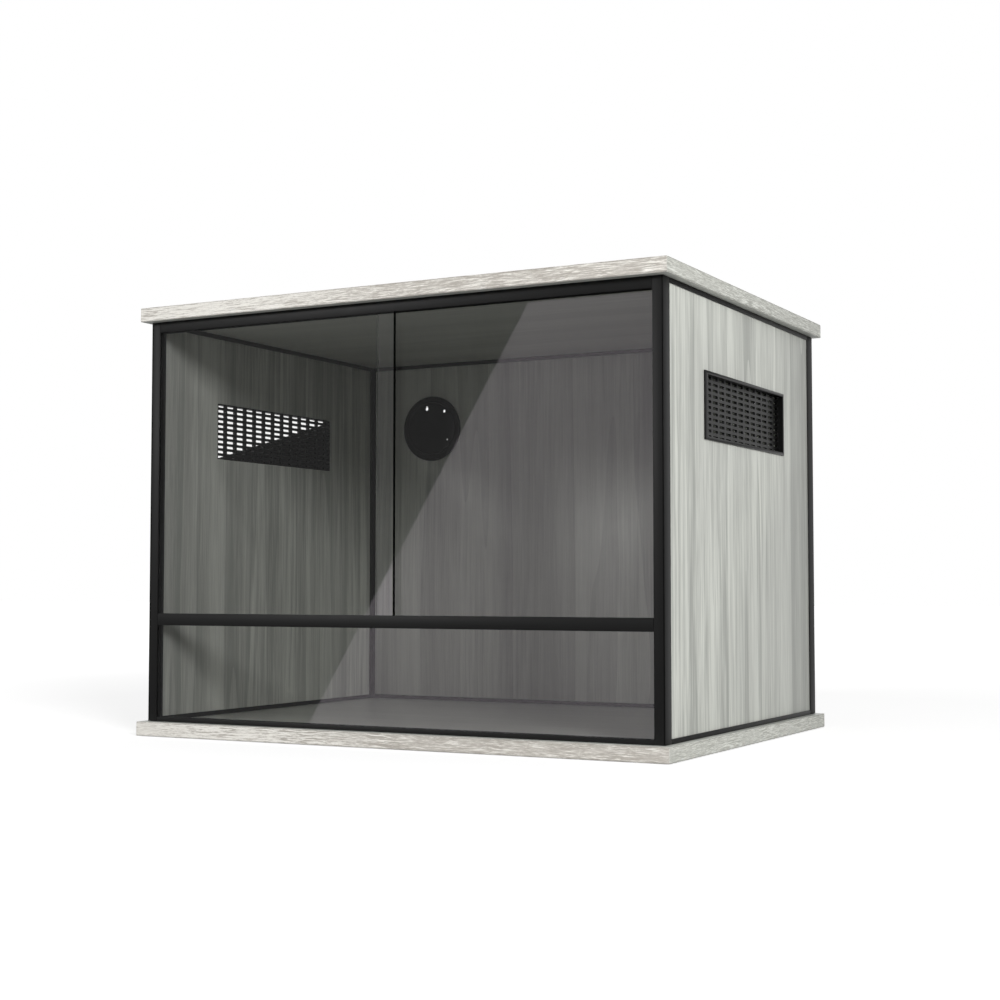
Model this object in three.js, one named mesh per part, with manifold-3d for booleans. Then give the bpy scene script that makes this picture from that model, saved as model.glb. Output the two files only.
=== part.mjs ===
// Terrarium cabinet. A laminate board above and below carries a black extruded frame.
// Laminate panels fill its sides and back, each side panel with a slotted vent and the
// back panel with a round cable port. In front, a fixed glass pane stands below two
// frameless glass doors that slide past each other in two tracks.
//
// Millimetres. +X is to the right, +Y to the back, +Z up. The origin is at the centre of
// the footprint, on the surface that the cabinet stands on.

import * as THREE from 'three';
import { mergeVertices } from 'three/addons/utils/BufferGeometryUtils.js';
import Module from 'manifold-3d';

const wasm = await Module();
wasm.setup();

// ---------------------------------------------------------------- sizes

// Whole cabinet
const WIDTH = 610;
const DEPTH = 457;
const HEIGHT = 457;
const FIT_GAP = 0.3; // room left wherever one piece meets another

// Boards
const BOARD_THICKNESS = 15;
const SIDE_OVERHANG = 8;
const FRONT_OVERHANG = 10;
const REAR_OVERHANG = 8;
const BOARD_EDGE_BREAK = 0.8;

// Posts and rails of the frame
const POST_FACE = 11; // width of a front post, seen from the front
const POST_WALL = 2; // from the bottom of a post's glass slots to its outer side
const REAR_POST_CORNER_RADIUS = 3;
const POST_LINE_INSET = 0.6; // from a front post's outer side to its shadow line
const POST_LINE_WIDTH = 0.9;
const POST_LINE_DEPTH = 1.2;
const FRONT_POST_FLANGE = 3; // laps over the side panel's front edge
const REAR_POST_SIDE_FLANGE = 7.6;
const REAR_POST_BACK_FLANGE = 2.6;
const REAR_POST_BORE_WALL = 1.5;
const RAIL_FACE = 5; // height of the side, rear and lower front rails
const TOP_RAIL_FACE = 11.5;
const MID_RAIL_FACE = 12.5;
const RAIL_WEB = 1.2;
const TOP_RAIL_WEB = 1.5;
const MID_RAIL_WEB = 2.5;
const PANEL_FLANGE = 0.9; // thin wall that holds a panel's edge

// Glass and its tracks
const GLASS_THICKNESS = 4;
const TRACK_LIP = 1;
const TRACK_DIVIDER = 0.8;
const LOWER_OPENING = 97; // clear height of the fixed pane
const PANE_TOP_CLEARANCE = 1.5;
const DOOR_TOP_ENTRY = 6; // how far a door reaches up into the top rail
const DOOR_OVERLAP = 16.6; // of the two doors when both are shut
const DOOR_AJAR = 5.7; // the right-hand door stands this far short of its stop
const GLIDE_THICKNESS = 1.2;
const SETTING_STRIP_THICKNESS = 0.8;

// Side and back panels
const PANEL_THICKNESS = 8;

// Vents
const VENT_FROM_TOP = 109; // from the top board's underside to the vent's centre
const VENT_CUTOUT_LENGTH = 225;
const VENT_CUTOUT_HEIGHT = 63;
const VENT_FLANGE_LAP = 2;
const VENT_TAB = 5; // extra lap at one end: the right vent's front, the left vent's rear
const VENT_FLANGE_THICKNESS = 1.2;
const VENT_WALL = 1;
const VENT_PLATE_THICKNESS = 2.5;
const VENT_PLATE_SETBACK = 6.7; // from the flange's face to the slotted plate
const VENT_COLUMNS = 13;
const VENT_ROWS = 11;
const VENT_COLUMN_PITCH = 18.1;
const VENT_BAR_WIDTH = 4.3; // upright bars between columns
const VENT_RIB_HEIGHT = 2.9; // level ribs between rows

// Cable port
const PORT_FROM_LEFT = 98; // from the frame's left side to the port's centre
const PORT_FROM_TOP = 83; // from the top board's underside to the port's centre
const PORT_HOLE_RADIUS = 35;
const PORT_FLANGE_LAP = 6;
const PORT_FLANGE_THICKNESS = 2.5;
const PORT_SLEEVE_WALL = 1.5;
const PORT_LEDGE_WIDTH = 1.9;
const PORT_LEDGE_THICKNESS = 1.5;
const PORT_SEAT_STEP = 1.4; // from the sleeve's outside in to the seat of the cap
const PORT_CAP_THICKNESS = 2;
const PORT_SIDES = 48;

// Screws that hold the rails to the boards
const SCREW_RADIUS = 1.5;
const SCREW_HEAD_RADIUS = 2.1;
const SCREW_HEAD_THICKNESS = 0.9;
const SCREW_LENGTH = 12;
const SCREW_POINT = 2.5;
const SCREW_FROM_RAIL_END = 50;
const SCREW_SIDES = 10;

// ---------------------------------------------------------------- places

const frameSide = WIDTH / 2 - SIDE_OVERHANG;
const frameFront = -DEPTH / 2 + FRONT_OVERHANG;
const frameRear = DEPTH / 2 - REAR_OVERHANG;
const baseTop = BOARD_THICKNESS;
const ceiling = HEIGHT - BOARD_THICKNESS;
const frameBottom = baseTop + FIT_GAP;
const frameTop = ceiling - FIT_GAP;

const trackSlot = GLASS_THICKNESS + 2 * FIT_GAP;
const frontSlot = frameFront + TRACK_LIP;
const rearSlot = frontSlot + trackSlot + TRACK_DIVIDER;
const windowRear = rearSlot + trackSlot + TRACK_LIP;
const postInner = frameSide - POST_FACE;
const postSlotBottom = frameSide - POST_WALL;

const baseRailTop = baseTop + RAIL_FACE;
const topRailBottom = ceiling - TOP_RAIL_FACE;
const midRailBottom = baseRailTop + LOWER_OPENING;
const midRailTop = midRailBottom + MID_RAIL_FACE;
const midSlotDepth = (MID_RAIL_FACE - MID_RAIL_WEB) / 2;

const panelSlot = PANEL_THICKNESS + 2 * FIT_GAP;
const channelWidth = panelSlot + 2 * PANEL_FLANGE;
const channelInner = frameSide - channelWidth;
const panelOuter = frameSide - PANEL_FLANGE - FIT_GAP;
const rearChannelFront = frameRear - channelWidth;
const backPanelRear = frameRear - PANEL_FLANGE - FIT_GAP;
const frontFlangeEnd = windowRear + FRONT_POST_FLANGE;
const rearFlangeStart = rearChannelFront - REAR_POST_SIDE_FLANGE;
const rearRailEnd = channelInner - REAR_POST_BACK_FLANGE - FIT_GAP;
const screwRoom = 2 * FIT_GAP + SCREW_HEAD_THICKNESS; // a screw head under a panel's edge
const panelBottom = frameBottom + RAIL_WEB + screwRoom;
const panelTop = frameTop - RAIL_WEB - screwRoom;

const doorBottom = midRailTop - midSlotDepth + GLIDE_THICKNESS + 2 * FIT_GAP;
const doorTop = topRailBottom + DOOR_TOP_ENTRY;
const doorStop = postSlotBottom - FIT_GAP;
const doorWidth = doorStop + DOOR_OVERLAP / 2;

const ventMiddle = (frameFront + frameRear) / 2;
const ventHeight = ceiling - VENT_FROM_TOP;
const portX = -frameSide + PORT_FROM_LEFT;
const portZ = ceiling - PORT_FROM_TOP;

// ---------------------------------------------------------------- materials

const laminate = () => new THREE.MeshStandardMaterial({ color: 0xbebfb9, roughness: 0.6 });
const boardLaminate = () => new THREE.MeshStandardMaterial({ color: 0xcfcbc6, roughness: 0.6 });
const blackMetal = () => new THREE.MeshStandardMaterial({ color: 0x2a2a2b, roughness: 0.45, metalness: 0.6 });
const blackPlastic = () => new THREE.MeshStandardMaterial({ color: 0x1a1a1a, roughness: 0.55 });
const glideNylon = () => new THREE.MeshStandardMaterial({ color: 0x141414, roughness: 0.4 });
const screwSteel = () => new THREE.MeshStandardMaterial({ color: 0x9a9a9c, roughness: 0.35, metalness: 1 });
const clearGlass = () => new THREE.MeshStandardMaterial({
  color: 0xdfe8e4, roughness: 0.03, transparent: true, opacity: 0.25,
});

// ---------------------------------------------------------------- helpers

const cabinet = new THREE.Group();

function addPiece(name, geometry, material) {
  const piece = new THREE.Mesh(geometry, material);
  piece.name = name;
  cabinet.add(piece);
}

function boxBetween(x0, x1, y0, y1, z0, z1) {
  const box = new THREE.BoxGeometry(x1 - x0, y1 - y0, z1 - z0);
  return box.translate((x0 + x1) / 2, (y0 + y1) / 2, (z0 + z1) / 2);
}

function rectangle(a0, a1, b0, b1) {
  const shape = new THREE.Shape();
  shape.moveTo(a0, b0);
  shape.lineTo(a1, b0);
  shape.lineTo(a1, b1);
  shape.lineTo(a0, b1);
  shape.closePath();
  return shape;
}

function polygon(points) {
  return new THREE.Shape(points.map(([a, b]) => new THREE.Vector2(a, b)));
}

function extrude(shape, length) {
  return new THREE.ExtrudeGeometry(shape, { depth: length, bevelEnabled: false, curveSegments: 8 });
}

// A section drawn in X and Y, standing from z0 to z1
function standing(shape, z0, z1) {
  return extrude(shape, z1 - z0).translate(0, 0, z0);
}

// A section drawn in Y and Z, running from x0 to x1
function alongX(shape, x0, x1) {
  const turn = new THREE.Matrix4().set(0, 0, 1, 0, 1, 0, 0, 0, 0, 1, 0, 0, 0, 0, 0, 1);
  return extrude(shape, x1 - x0).applyMatrix4(turn).translate(x0, 0, 0);
}

// A section drawn in Z and X, running from y0 to y1
function alongY(shape, y0, y1) {
  const turn = new THREE.Matrix4().set(0, 1, 0, 0, 0, 0, 1, 0, 1, 0, 0, 0, 0, 0, 0, 1);
  return extrude(shape, y1 - y0).applyMatrix4(turn).translate(0, y0, 0);
}

function toSolid(geometry) {
  const bare = geometry.clone();
  bare.deleteAttribute('normal');
  bare.deleteAttribute('uv');
  const merged = mergeVertices(bare, 1e-4);
  return new wasm.Manifold(new wasm.Mesh({
    numProp: 3,
    vertProperties: new Float32Array(merged.attributes.position.array),
    triVerts: new Uint32Array(merged.index.array),
  }));
}

function toGeometry(solid) {
  const mesh = solid.getMesh();
  const geometry = new THREE.BufferGeometry();
  geometry.setAttribute('position', new THREE.BufferAttribute(mesh.vertProperties, 3));
  geometry.setIndex(new THREE.BufferAttribute(mesh.triVerts, 1));
  geometry.computeVertexNormals();
  return geometry;
}

function cut(geometry, tools) {
  return toGeometry(tools.reduce((solid, tool) => solid.subtract(toSolid(tool)), toSolid(geometry)));
}

function join(geometries) {
  const solids = geometries.map(toSolid);
  return toGeometry(solids.reduce((whole, solid) => whole.add(solid)));
}

// ---------------------------------------------------------------- screws

// The middle of a side or rear channel, and the rear track of the window
const sideChannelX = frameSide - channelWidth / 2;
const rearChannelY = frameRear - channelWidth / 2;
const rearTrackY = rearSlot + trackSlot / 2;

// Two screws to a rail, each a set distance from the rail's ends
function placeScrews() {
  const alongSide = [frontFlangeEnd + SCREW_FROM_RAIL_END, rearFlangeStart - SCREW_FROM_RAIL_END];
  const alongFront = [-postInner + SCREW_FROM_RAIL_END, postInner - SCREW_FROM_RAIL_END];
  const alongRear = [-rearRailEnd + SCREW_FROM_RAIL_END, rearRailEnd - SCREW_FROM_RAIL_END];
  return {
    left: alongSide.map((y) => [-sideChannelX, y]),
    right: alongSide.map((y) => [sideChannelX, y]),
    rear: alongRear.map((x) => [x, rearChannelY]),
    front: alongFront.map((x) => [x, rearTrackY]),
  };
}

const places = placeScrews();

function verticalPin(radius, x, y, z0, z1) {
  const pin = new THREE.CylinderGeometry(radius, radius, z1 - z0, SCREW_SIDES);
  return pin.rotateX(Math.PI / 2).translate(x, y, (z0 + z1) / 2);
}

// A round hole for a screw's shank, in a board or a rail's web
function screwHoles(rails, z0, z1) {
  return rails.flatMap((rail) => places[rail]).map(([x, y]) => (
    verticalPin(SCREW_RADIUS + FIT_GAP, x, y, z0, z1)
  ));
}

// A wafer-head screw, its head's underside at z = 0 and its point below
function screwBody() {
  const profile = [
    [0, -SCREW_LENGTH],
    [SCREW_RADIUS, SCREW_POINT - SCREW_LENGTH],
    [SCREW_RADIUS, 0],
    [SCREW_HEAD_RADIUS, 0],
    [SCREW_HEAD_RADIUS, SCREW_HEAD_THICKNESS],
    [0, SCREW_HEAD_THICKNESS],
  ].map(([r, z]) => new THREE.Vector2(r, z));
  return new THREE.LatheGeometry(profile, SCREW_SIDES).rotateX(Math.PI / 2);
}

function addScrews() {
  for (const [rail, ends] of Object.entries(places)) {
    const topWeb = rail === 'front' ? TOP_RAIL_WEB : RAIL_WEB;
    ends.forEach(([x, y], end) => {
      const baseScrew = screwBody().translate(x, y, frameBottom + RAIL_WEB + FIT_GAP);
      addPiece(`${rail}_base_rail_screw_${end + 1}`, baseScrew, screwSteel());
      const topScrew = screwBody().rotateX(Math.PI).translate(x, y, frameTop - topWeb - FIT_GAP);
      addPiece(`${rail}_top_rail_screw_${end + 1}`, topScrew, screwSteel());
    });
  }
}

// ---------------------------------------------------------------- boards

const screwTip = SCREW_LENGTH - RAIL_WEB + FIT_GAP; // depth of a screw hole in a board

function board(z0, z1) {
  const edge = BOARD_EDGE_BREAK;
  const outline = rectangle(-WIDTH / 2 + edge, WIDTH / 2 - edge, -DEPTH / 2 + edge, DEPTH / 2 - edge);
  const slab = new THREE.ExtrudeGeometry(outline, {
    depth: z1 - z0 - 2 * edge,
    bevelThickness: edge,
    bevelSize: edge,
    bevelSegments: 1,
  });
  return slab.translate(0, 0, z0 + edge);
}

function addBoards() {
  const rails = ['left', 'right', 'rear', 'front'];
  const baseHoles = screwHoles(rails, baseTop - screwTip, baseTop + 1);
  addPiece('base_board', cut(board(0, BOARD_THICKNESS), baseHoles), boardLaminate());
  const topHoles = screwHoles(rails, ceiling - 1, ceiling + screwTip);
  addPiece('top_board', cut(board(ceiling, HEIGHT), topHoles), boardLaminate());
}

// ---------------------------------------------------------------- posts

// Front post: square outer corner with a shadow line beside it, two glass slots that face
// the window, and a thin flange that laps over the side panel's front edge
function frontPostSection(side) {
  const lineOuter = frameSide - POST_LINE_INSET;
  const lineInner = lineOuter - POST_LINE_WIDTH;
  const section = new THREE.Shape();
  const to = (x, y) => section.lineTo(side * x, y);
  section.moveTo(side * postInner, frameFront);
  to(lineInner, frameFront);
  to(lineInner, frameFront + POST_LINE_DEPTH);
  to(lineOuter, frameFront + POST_LINE_DEPTH);
  to(lineOuter, frameFront);
  to(frameSide, frameFront);
  to(frameSide, frontFlangeEnd);
  to(frameSide - PANEL_FLANGE, frontFlangeEnd);
  to(frameSide - PANEL_FLANGE, windowRear);
  to(postInner, windowRear);
  to(postInner, windowRear - TRACK_LIP);
  to(postSlotBottom, windowRear - TRACK_LIP);
  to(postSlotBottom, rearSlot);
  to(postInner, rearSlot);
  to(postInner, frontSlot + trackSlot);
  to(postSlotBottom, frontSlot + trackSlot);
  to(postSlotBottom, frontSlot);
  to(postInner, frontSlot);
  section.closePath();
  return section;
}

// Rear post: hollow square core, with two flanges on each side that hold a panel's edge
function rearPostSection(side) {
  const corner = REAR_POST_CORNER_RADIUS;
  const section = new THREE.Shape();
  const to = (x, y) => section.lineTo(side * x, y);
  const backFlangeEnd = channelInner - REAR_POST_BACK_FLANGE;
  section.moveTo(side * frameSide, rearFlangeStart);
  to(frameSide, frameRear - corner);
  const centreX = side * (frameSide - corner);
  const start = side > 0 ? 0 : Math.PI;
  section.absarc(centreX, frameRear - corner, corner, start, Math.PI / 2, side < 0);
  to(backFlangeEnd, frameRear);
  to(backFlangeEnd, frameRear - PANEL_FLANGE);
  to(channelInner, frameRear - PANEL_FLANGE);
  to(channelInner, rearChannelFront + PANEL_FLANGE);
  to(backFlangeEnd, rearChannelFront + PANEL_FLANGE);
  to(backFlangeEnd, rearChannelFront);
  to(channelInner, rearChannelFront);
  to(channelInner, rearFlangeStart);
  to(channelInner + PANEL_FLANGE, rearFlangeStart);
  to(channelInner + PANEL_FLANGE, rearChannelFront);
  to(frameSide - PANEL_FLANGE, rearChannelFront);
  to(frameSide - PANEL_FLANGE, rearFlangeStart);
  section.closePath();
  const wall = REAR_POST_BORE_WALL;
  const boreX = [side * (channelInner + wall), side * (frameSide - wall)].sort((a, b) => a - b);
  section.holes.push(rectangle(boreX[0], boreX[1], rearChannelFront + wall, frameRear - wall));
  return section;
}

function addPosts() {
  for (const [name, side] of [['left', -1], ['right', 1]]) {
    addPiece(`front_${name}_post`, standing(frontPostSection(side), frameBottom, frameTop), blackMetal());
    addPiece(`rear_${name}_post`, standing(rearPostSection(side), frameBottom, frameTop), blackMetal());
  }
}

// ---------------------------------------------------------------- rails

// Double track: a web with three walls, which stand at either side of two slots. The
// web's two faces and the walls' edge are given as heights.
function trackSection(webBack, webFace, wallEdge) {
  return polygon([
    [frameFront, webBack],
    [windowRear, webBack],
    [windowRear, wallEdge],
    [windowRear - TRACK_LIP, wallEdge],
    [windowRear - TRACK_LIP, webFace],
    [rearSlot, webFace],
    [rearSlot, wallEdge],
    [frontSlot + trackSlot, wallEdge],
    [frontSlot + trackSlot, webFace],
    [frontSlot, webFace],
    [frontSlot, wallEdge],
    [frameFront, wallEdge],
  ]);
}

function addFrontRails() {
  const railEnd = postInner - FIT_GAP;
  const baseSection = trackSection(frameBottom, frameBottom + RAIL_WEB, baseRailTop);
  const baseRail = alongX(baseSection, -railEnd, railEnd);
  const baseHoles = screwHoles(['front'], frameBottom - 1, frameBottom + RAIL_WEB + 1);
  addPiece('front_base_rail', cut(baseRail, baseHoles), blackMetal());

  const topSection = trackSection(frameTop, frameTop - TOP_RAIL_WEB, topRailBottom);
  const topRail = alongX(topSection, -railEnd, railEnd);
  const topHoles = screwHoles(['front'], frameTop - TOP_RAIL_WEB - 1, frameTop + 1);
  addPiece('front_top_rail', cut(topRail, topHoles), blackMetal());

  // The middle rail has tracks on both faces of one web
  const webMiddle = (midRailBottom + midRailTop) / 2;
  const upper = trackSection(webMiddle, midRailTop - midSlotDepth, midRailTop);
  const lower = trackSection(webMiddle, midRailBottom + midSlotDepth, midRailBottom);
  const halves = [upper, lower].map((section) => alongX(section, -railEnd, railEnd));
  addPiece('front_mid_rail', join(halves), blackMetal());
}

// Channel that holds a panel's edge: across its width from a0 to a1, with its web at
// webBack and its flanges' edge at flangeEdge
function channelPoints(a0, a1, webBack, flangeEdge) {
  const webFace = webBack + Math.sign(flangeEdge - webBack) * RAIL_WEB;
  return [
    [a0, webBack],
    [a1, webBack],
    [a1, flangeEdge],
    [a1 - PANEL_FLANGE, flangeEdge],
    [a1 - PANEL_FLANGE, webFace],
    [a0 + PANEL_FLANGE, webFace],
    [a0 + PANEL_FLANGE, flangeEdge],
    [a0, flangeEdge],
  ];
}

function addChannelRails() {
  const levels = [
    { name: 'base', webBack: frameBottom, edge: baseRailTop },
    { name: 'top', webBack: frameTop, edge: ceiling - RAIL_FACE },
  ];
  for (const { name, webBack, edge } of levels) {
    const reach = RAIL_WEB + 1;
    const holesOf = (rail) => screwHoles([rail], webBack - reach, webBack + reach);
    for (const [sideName, side] of [['left', -1], ['right', 1]]) {
      const [x0, x1] = [side * channelInner, side * frameSide].sort((a, b) => a - b);
      const section = polygon(channelPoints(x0, x1, webBack, edge).map(([x, z]) => [z, x]));
      const rail = alongY(section, frontFlangeEnd + FIT_GAP, rearFlangeStart - FIT_GAP);
      addPiece(`${sideName}_${name}_rail`, cut(rail, holesOf(sideName)), blackMetal());
    }
    const rearSection = polygon(channelPoints(rearChannelFront, frameRear, webBack, edge));
    const rearRail = alongX(rearSection, -rearRailEnd, rearRailEnd);
    addPiece(`rear_${name}_rail`, cut(rearRail, holesOf('rear')), blackMetal());
  }
}

// ---------------------------------------------------------------- panels

const ventHalfLength = VENT_CUTOUT_LENGTH / 2;
const ventHalfHeight = VENT_CUTOUT_HEIGHT / 2;

// Both vents are the same moulding, and the left one is turned end for end
function ventSpan(side) {
  const middle = ventMiddle + (side * VENT_TAB) / 2;
  return [middle - ventHalfLength, middle + ventHalfLength];
}

function rectangleAroundVent(side, margin, tab = 0) {
  const [front, rear] = ventSpan(side);
  return rectangle(
    front - margin - (side > 0 ? tab : 0),
    rear + margin + (side < 0 ? tab : 0),
    ventHeight - ventHalfHeight - margin,
    ventHeight + ventHalfHeight + margin,
  );
}

function addSidePanels() {
  for (const [name, side] of [['left', -1], ['right', 1]]) {
    const front = windowRear + FIT_GAP;
    const outline = rectangle(front, rearChannelFront - FIT_GAP, panelBottom, panelTop);
    outline.holes.push(rectangleAroundVent(side, 0));
    const outer = side * panelOuter;
    const inner = side * (panelOuter - PANEL_THICKNESS);
    const panel = alongX(outline, Math.min(outer, inner), Math.max(outer, inner));
    addPiece(`${name}_side_panel`, panel, laminate());
  }
}

function addBackPanel() {
  const reach = channelInner - FIT_GAP;
  const outline = rectangle(panelBottom, panelTop, -reach, reach);
  const hole = new THREE.Path();
  for (let corner = 0; corner < PORT_SIDES; corner += 1) {
    const angle = (corner / PORT_SIDES) * 2 * Math.PI;
    const z = portZ + PORT_HOLE_RADIUS * Math.cos(angle);
    const x = portX + PORT_HOLE_RADIUS * Math.sin(angle);
    if (corner === 0) {
      hole.moveTo(z, x);
    } else {
      hole.lineTo(z, x);
    }
  }
  hole.closePath();
  outline.holes.push(hole);
  addPiece('back_panel', alongY(outline, backPanelRear - PANEL_THICKNESS, backPanelRear), laminate());
}

// ---------------------------------------------------------------- vents

// Slotted plate that spans the sleeve: upright bars crossed by level ribs
function ventBarsAndRibs(side, x0, x1) {
  const overlap = FIT_GAP + VENT_WALL / 2;
  const [front, rear] = ventSpan(side);
  const [y0, y1] = [front + overlap, rear - overlap];
  const halfHeight = ventHalfHeight - overlap;
  const fieldHeight = VENT_CUTOUT_HEIGHT - 2 * (FIT_GAP + VENT_WALL);
  const rowPitch = (fieldHeight + VENT_RIB_HEIGHT) / VENT_ROWS;
  const pieces = [];
  for (let bar = 1; bar < VENT_COLUMNS; bar += 1) {
    const middle = ventMiddle + (bar - VENT_COLUMNS / 2) * VENT_COLUMN_PITCH;
    const [start, end] = [middle - VENT_BAR_WIDTH / 2, middle + VENT_BAR_WIDTH / 2];
    if (start > y0 && end < y1) {
      pieces.push(boxBetween(x0, x1, start, end, ventHeight - halfHeight, ventHeight + halfHeight));
    }
  }
  for (let rib = 1; rib < VENT_ROWS; rib += 1) {
    const z = ventHeight - fieldHeight / 2 + rib * rowPitch - VENT_RIB_HEIGHT;
    pieces.push(boxBetween(x0, x1, y0, y1, z, z + VENT_RIB_HEIGHT));
  }
  return pieces;
}

// One moulding: a flange on the panel's outer face, a sleeve through its cut-out, and
// the slotted plate set back inside the sleeve
function addVents() {
  const flangeInner = panelOuter + FIT_GAP;
  const flangeOuter = flangeInner + VENT_FLANGE_THICKNESS;
  const plateOuter = flangeOuter - VENT_PLATE_SETBACK;
  const plateInner = plateOuter - VENT_PLATE_THICKNESS;
  const bore = -FIT_GAP - VENT_WALL;
  for (const [name, side] of [['left', -1], ['right', 1]]) {
    const flange = rectangleAroundVent(side, VENT_FLANGE_LAP, VENT_TAB);
    flange.holes.push(rectangleAroundVent(side, bore));
    const sleeve = rectangleAroundVent(side, -FIT_GAP);
    sleeve.holes.push(rectangleAroundVent(side, bore));
    const inOrder = (near, far) => [side * near, side * far].sort((a, b) => a - b);
    const grille = join([
      alongX(flange, ...inOrder(flangeInner, flangeOuter)),
      alongX(sleeve, ...inOrder(plateInner, flangeOuter)),
      ...ventBarsAndRibs(side, ...inOrder(plateInner, plateOuter)),
    ]);
    addPiece(`${name}_vent_grille`, grille, blackPlastic());
  }
}

// ---------------------------------------------------------------- cable port

const backPanelFront = backPanelRear - PANEL_THICKNESS;
const sleeveOuter = PORT_HOLE_RADIUS - FIT_GAP;
const seatRadius = sleeveOuter - PORT_SEAT_STEP;
const portFlangeFront = backPanelFront - FIT_GAP - PORT_FLANGE_THICKNESS;
const portFlangeBack = backPanelFront - FIT_GAP;

// Ring against the panel's inner face, with a sleeve through the panel and a ledge that
// the cap rests on. The profile closes on itself: radius, then distance to the back.
function addPortFlange() {
  const flangeRadius = PORT_HOLE_RADIUS + PORT_FLANGE_LAP;
  const ledgeRadius = seatRadius - PORT_LEDGE_WIDTH;
  const bore = sleeveOuter - PORT_SLEEVE_WALL;
  const ledgeBack = portFlangeBack + PORT_LEDGE_THICKNESS;
  const profile = [
    [seatRadius, portFlangeFront],
    [seatRadius, portFlangeBack],
    [ledgeRadius, portFlangeBack],
    [ledgeRadius, ledgeBack],
    [bore, ledgeBack],
    [bore, frameRear],
    [sleeveOuter, frameRear],
    [sleeveOuter, portFlangeBack],
    [flangeRadius, portFlangeBack],
    [flangeRadius, portFlangeFront],
    [seatRadius, portFlangeFront],
  ].map(([r, y]) => new THREE.Vector2(r, y));
  const ring = new THREE.LatheGeometry(profile.reverse(), PORT_SIDES).translate(portX, 0, portZ);
  addPiece('cable_port_flange', ring, blackPlastic());
}

function roundHole(z, x, radius, sides) {
  const hole = new THREE.Path();
  hole.absarc(z, x, radius, 0, 2 * Math.PI, false);
  return new THREE.Path(hole.getPoints(sides / 4).slice(0, -1));
}

// Turning cap: a disc with a keyhole and two round openings for thin cables
function addPortCap() {
  const capRadius = seatRadius - FIT_GAP;
  const capBack = portFlangeBack - FIT_GAP;
  const corners = Array.from({ length: PORT_SIDES }, (_, corner) => {
    const angle = (corner / PORT_SIDES) * 2 * Math.PI;
    return [capRadius * Math.cos(angle), capRadius * Math.sin(angle)];
  });
  const disc = polygon(corners);
  const keyhole = { z: 25.5, x: -7.3, radius: 2.3, slotWidth: 2.4, slotTop: 6.2 };
  const half = keyhole.slotWidth / 2;
  const reach = Math.sqrt(keyhole.radius ** 2 - half ** 2);
  const slotEnd = keyhole.z + keyhole.slotTop - keyhole.radius;
  const path = new THREE.Path();
  const startAngle = Math.atan2(half, reach);
  path.moveTo(slotEnd, keyhole.x + half);
  path.lineTo(keyhole.z + reach, keyhole.x + half);
  for (let step = 1; step <= 7; step += 1) {
    const angle = startAngle + (step / 8) * (2 * Math.PI - 2 * startAngle);
    path.lineTo(keyhole.z + keyhole.radius * Math.cos(angle), keyhole.x + keyhole.radius * Math.sin(angle));
  }
  path.lineTo(keyhole.z + reach, keyhole.x - half);
  path.lineTo(slotEnd, keyhole.x - half);
  path.closePath();
  disc.holes.push(path, roundHole(21.5, 18.2, 2, 12), roundHole(-14.6, 22.5, 1, 8));
  const cap = alongY(disc, capBack - PORT_CAP_THICKNESS, capBack).translate(portX, 0, portZ);
  addPiece('cable_port_cap', cap, blackPlastic());
}

// ---------------------------------------------------------------- glass

function glassBetween(x0, x1, slotFront, z0, z1) {
  const y0 = slotFront + FIT_GAP;
  return boxBetween(x0, x1, y0, y0 + GLASS_THICKNESS, z0, z1);
}

function addGlass() {
  const stripTop = frameBottom + RAIL_WEB + FIT_GAP + SETTING_STRIP_THICKNESS;
  const paneTop = midRailBottom + midSlotDepth - PANE_TOP_CLEARANCE;
  const pane = glassBetween(-doorStop, doorStop, frontSlot, stripTop + FIT_GAP, paneTop);
  addPiece('fixed_front_glass', pane, clearGlass());
  const leftDoor = glassBetween(-doorStop, -doorStop + doorWidth, frontSlot, doorBottom, doorTop);
  addPiece('left_door_glass', leftDoor, clearGlass());
  const rightEdge = doorStop - DOOR_AJAR;
  const rightDoor = glassBetween(rightEdge - doorWidth, rightEdge, rearSlot, doorBottom, doorTop);
  addPiece('right_door_glass', rightDoor, clearGlass());
}

// Slippery strips that the doors run on, and the strip that the fixed pane stands on
function addStrips() {
  const stripEnd = postInner - 2 * FIT_GAP;
  const addStrip = (name, slotFront, z0, thickness) => {
    const y0 = slotFront + FIT_GAP;
    const strip = boxBetween(-stripEnd, stripEnd, y0, y0 + GLASS_THICKNESS, z0, z0 + thickness);
    addPiece(name, strip, glideNylon());
  };
  const glideBottom = midRailTop - midSlotDepth + FIT_GAP;
  addStrip('front_door_glide', frontSlot, glideBottom, GLIDE_THICKNESS);
  addStrip('rear_door_glide', rearSlot, glideBottom, GLIDE_THICKNESS);
  addStrip('pane_setting_strip', frontSlot, frameBottom + RAIL_WEB + FIT_GAP, SETTING_STRIP_THICKNESS);
}

// ---------------------------------------------------------------- cabinet

addBoards();
addPosts();
addFrontRails();
addChannelRails();
addSidePanels();
addBackPanel();
addVents();
addPortFlange();
addPortCap();
addGlass();
addStrips();
addScrews();

export default cabinet;
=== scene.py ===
from math import pi, radians

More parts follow.
